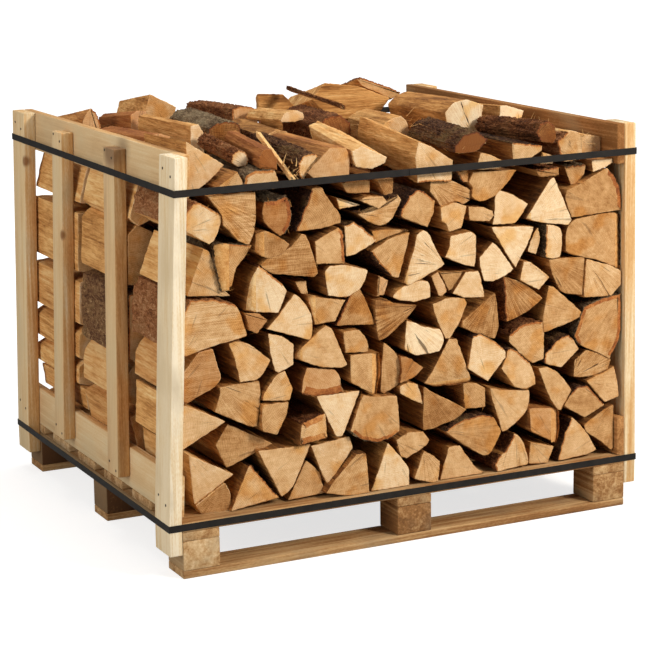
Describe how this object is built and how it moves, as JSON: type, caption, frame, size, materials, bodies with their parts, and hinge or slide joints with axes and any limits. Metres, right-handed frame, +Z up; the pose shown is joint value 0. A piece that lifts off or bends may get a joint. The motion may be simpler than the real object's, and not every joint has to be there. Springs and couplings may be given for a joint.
{
  "type": "firewood bundle",
  "caption": "Split firewood logs stacked on a wooden pallet between slatted side panels and tied round with plastic straps.",
  "frame": {"origin": "on the floor under the middle of the pallet", "axes": "+X along the front, where the cut log ends show, +Y from the front to the back, +Z up"},
  "size_m": [1.267, 1.083, 1.0343],
  "materials": {
    "pallet_wood": "rough sawn, weathered",
    "panel_wood": "sawn, pale",
    "strap_plastic": "ribbed strapping",
    "split_log_wood": "split and sawn, with patches of bark",
    "bark_log_wood": "rough bark"
  },
  "bodies": {
    "root": {"back_row_logs": "split_log_wood", "bark_log_with_small_end": "bark_log_wood", "bark_slab_at_back": "bark_log_wood", "big_dark_bark_log": "bark_log_wood", "big_pale_log": "split_log_wood", "block_back_left": "pallet_wood", "block_back_middle": "pallet_wood", "block_back_right": "pallet_wood", "block_front_left": "pallet_wood", "block_front_middle": "pallet_wood", "block_front_right": "pallet_wood", "block_middle_left": "pallet_wood", "block_middle_middle": "pallet_wood", "block_middle_right": "pallet_wood", "dark_bark_log_right": "bark_log_wood", "deck_board_1": "pallet_wood", "deck_board_2": "pallet_wood", "deck_board_3": "pallet_wood", "deck_board_4": "pallet_wood", "deck_board_5": "pallet_wood", "deck_board_6": "pallet_wood", "flat_brown_split_log": "split_log_wood", "front_row_logs": "split_log_wood", "grey_bark_log": "bark_log_wood", "long_brown_log": "split_log_wood", "middle_row_logs": "split_log_wood", "mossy_bark_log": "bark_log_wood", "orange_bark_log": "bark_log_wood", "pale_slab_log": "split_log_wood", "post_left_back": "panel_wood", "post_left_front": "panel_wood", "post_right_back": "panel_wood", "post_right_front": "panel_wood", "rail_left_lower": "panel_wood", "rail_left_upper": "panel_wood", "rail_right_lower": "panel_wood", "rail_right_upper": "panel_wood", "red_log_back": "bark_log_wood", "red_stick_on_top": "bark_log_wood", "skid_back": "pallet_wood", "skid_front": "pallet_wood", "skid_middle": "pallet_wood", "slat_left_1": "panel_wood", "slat_left_2": "panel_wood", "slat_right_1": "panel_wood", "slat_right_2": "panel_wood", "small_log_back_left": "bark_log_wood", "small_pale_log_right": "split_log_wood", "splintered_lath": "split_log_wood", "splintered_log_right": "split_log_wood", "strap_lower": "strap_plastic", "strap_upper": "strap_plastic", "stringer_left": "pallet_wood", "stringer_middle": "pallet_wood", "stringer_right": "pallet_wood", "tan_log_left": "split_log_wood", "tan_split_log_back": "split_log_wood", "upturned_split_log": "split_log_wood", "wedge_log_behind_left_post": "split_log_wood", "yellow_split_log": "split_log_wood"}
  },
  "joints": []
}
